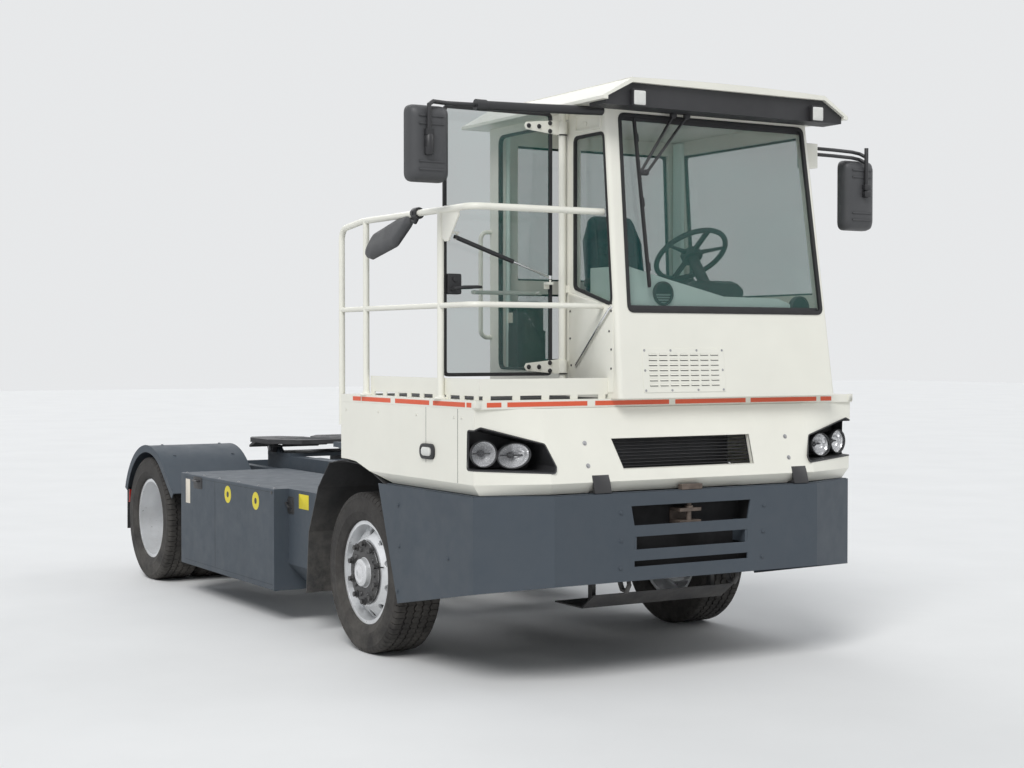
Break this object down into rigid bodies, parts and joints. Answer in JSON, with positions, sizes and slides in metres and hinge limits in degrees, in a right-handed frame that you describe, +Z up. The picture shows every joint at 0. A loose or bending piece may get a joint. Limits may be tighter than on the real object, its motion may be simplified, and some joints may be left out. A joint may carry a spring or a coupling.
{
  "type": "terminal tractor",
  "caption": "Low yard tractor with an offset single cab, side platform with handrail, and a lifting fifth wheel over twin-tyred rear wheels.",
  "frame": {"origin": "on the ground, under the middle of the vehicle's overall length and width", "axes": "+X forward, +Y to the vehicle's left, +Z up"},
  "size_m": [5.74, 3.068, 3.18],
  "materials": {
    "white_paint": "satin",
    "chassis_paint": "satin",
    "rim_silver": "satin",
    "tyre_rubber": "matte",
    "black_plastic": "matte",
    "black_metal": "satin",
    "clear_glass": "gloss",
    "lamp_lens": "gloss",
    "tail_lens": "gloss",
    "seat_fabric": "matte",
    "interior_plastic": "matte",
    "dark_iron": "matte",
    "engine_metal": "matte",
    "steel_rod": "gloss",
    "tow_brown": "matte"
  },
  "bodies": {
    "tractor": {"access_step": "chassis_paint", "cab_roof": "white_paint", "cab_shell": "white_paint", "cab_windows": "clear_glass", "chassis_frame": "chassis_paint", "dashboard": "interior_plastic", "engine_gearbox": "engine_metal", "floor_box": "black_plastic", "front_axle_beam": "dark_iron", "front_body": "white_paint", "front_bumper": "chassis_paint", "front_mudguards": "black_plastic", "front_springs": "dark_iron", "front_tow_coupling": "tow_brown", "grab_bar": "white_paint", "handrail": "white_paint", "headlamps": "lamp_lens", "left_mirror": "black_plastic", "platform": "white_paint", "propeller_shaft": "dark_iron", "radiator": "black_metal", "rear_axle": "dark_iron", "rear_fenders": "chassis_paint", "right_low_mirror": "black_plastic", "right_mirror": "black_plastic", "roof_fascia": "black_plastic", "seat_back": "seat_fabric", "seat_base": "black_plastic", "seat_cushion": "seat_fabric", "side_boxes": "chassis_paint", "small_boxes": "chassis_paint", "steering_wheel": "black_plastic", "tail_lamps": "tail_lens", "under_guard": "black_metal", "windscreen": "clear_glass", "wiper": "black_metal", "work_lamps": "lamp_lens"},
    "knuckle_left": {"knuckle_left": "dark_iron"},
    "knuckle_right": {"knuckle_right": "dark_iron"},
    "tie_rod": {"tie_rod": "dark_iron"},
    "front_wheel_left": {"front_tyre_left": "tyre_rubber", "front_rim_left": "rim_silver"},
    "front_wheel_right": {"front_tyre_right": "tyre_rubber", "front_rim_right": "rim_silver"},
    "rear_wheels_left": {"rear_tyres_left": "tyre_rubber", "rear_rims_left": "rim_silver"},
    "rear_wheels_right": {"rear_tyres_right": "tyre_rubber", "rear_rims_right": "rim_silver"},
    "door": {"door_glass": "clear_glass", "door_hinge_plates": "white_paint"},
    "strut_barrel": {"door_strut_barrel": "black_metal"},
    "strut_rod": {"door_strut_rod": "steel_rod"},
    "lift_boom": {"lift_boom": "chassis_paint"},
    "fifth_wheel": {"fifth_wheel": "dark_iron"},
    "lift_barrel_left": {"lift_barrel_left": "chassis_paint"},
    "lift_barrel_right": {"lift_barrel_right": "chassis_paint"},
    "lift_rod_left": {"lift_rod_left": "steel_rod"},
    "lift_rod_right": {"lift_rod_right": "steel_rod"}
  },
  "joints": [
    {"name": "steer_left", "type": "hinge", "parent": "tractor", "child": "knuckle_left", "pos_m": [1.333, 0.905, 0.463], "axis": [0, 0, 1], "range_deg": [-40, 40]},
    {"name": "steer_right", "type": "hinge", "parent": "tractor", "child": "knuckle_right", "pos_m": [1.333, -0.905, 0.463], "axis": [0, 0, 1], "range_deg": [-40, 40]},
    {"name": "tie_rod_turn", "type": "hinge", "parent": "knuckle_left", "child": "tie_rod", "pos_m": [1.143, 0.905, 0.34], "axis": [0, 0, 1], "range_deg": [-40, 40]},
    {"name": "front_wheel_left_spin", "type": "hinge", "parent": "knuckle_left", "child": "front_wheel_left", "pos_m": [1.333, 1.072, 0.463], "axis": [0, 1, 0], "continuous": true},
    {"name": "front_wheel_right_spin", "type": "hinge", "parent": "knuckle_right", "child": "front_wheel_right", "pos_m": [1.333, -1.072, 0.463], "axis": [0, 1, 0], "continuous": true},
    {"name": "rear_wheels_left_spin", "type": "hinge", "parent": "tractor", "child": "rear_wheels_left", "pos_m": [-2.347, 0.933, 0.463], "axis": [0, 1, 0], "continuous": true},
    {"name": "rear_wheels_right_spin", "type": "hinge", "parent": "tractor", "child": "rear_wheels_right", "pos_m": [-2.347, -0.933, 0.463], "axis": [0, 1, 0], "continuous": true},
    {"name": "door_swing", "type": "hinge", "parent": "tractor", "child": "door", "pos_m": [2.303, -0.465, 1.61], "axis": [0, 0, 1], "range_deg": [-90, 0]},
    {"name": "strut_swing", "type": "hinge", "parent": "tractor", "child": "strut_barrel", "pos_m": [2.393, -1.178, 2.335], "axis": [0.1245, 0.3114, 0.9421], "range_deg": [0, 11.92]},
    {"name": "strut_slide", "type": "slide", "parent": "strut_barrel", "child": "strut_rod", "axis": [-0.0703, 0.9499, -0.3046], "range_m": [0, 0.0831]},
    {"name": "boom_lift", "type": "hinge", "parent": "tractor", "child": "lift_boom", "pos_m": [-0.417, 0, 0.88], "axis": [0, 1, 0], "range_deg": [0, 21]},
    {"name": "fifth_wheel_pitch", "type": "hinge", "parent": "lift_boom", "child": "fifth_wheel", "pos_m": [-2.067, 0, 0.985], "axis": [0, 1, 0], "range_deg": [-21, 12]},
    {"name": "lift_barrel_left_swing", "type": "hinge", "parent": "tractor", "child": "lift_barrel_left", "pos_m": [-0.7, 0.265, 0.52], "axis": [0, 1, 0], "range_deg": [-0.1, 21.57]},
    {"name": "lift_rod_left_slide", "type": "slide", "parent": "lift_barrel_left", "child": "lift_rod_left", "axis": [-0.8827, 0, 0.4699], "range_m": [0, 0.16739]},
    {"name": "lift_barrel_right_swing", "type": "hinge", "parent": "tractor", "child": "lift_barrel_right", "pos_m": [-0.7, -0.265, 0.52], "axis": [0, 1, 0], "range_deg": [-0.1, 21.57]},
    {"name": "lift_rod_right_slide", "type": "slide", "parent": "lift_barrel_right", "child": "lift_rod_right", "axis": [-0.8827, 0, 0.4699], "range_m": [0, 0.16739]}
  ],
  "couplings": [
    {"joint": "steer_right", "follows": "steer_left", "ratio": 1},
    {"joint": "tie_rod_turn", "follows": "steer_left", "ratio": -1},
    {"joint": "strut_swing", "follows": "door_swing", "ratio": -0.13019},
    {"joint": "strut_slide", "follows": "door_swing", "m_per_rad": -0.052582},
    {"joint": "lift_barrel_left_swing", "follows": "boom_lift", "ratio": 1.0174},
    {"joint": "lift_rod_left_slide", "follows": "boom_lift", "m_per_rad": 0.45535},
    {"joint": "lift_barrel_right_swing", "follows": "boom_lift", "ratio": 1.0174},
    {"joint": "lift_rod_right_slide", "follows": "boom_lift", "m_per_rad": 0.45535}
  ]
}
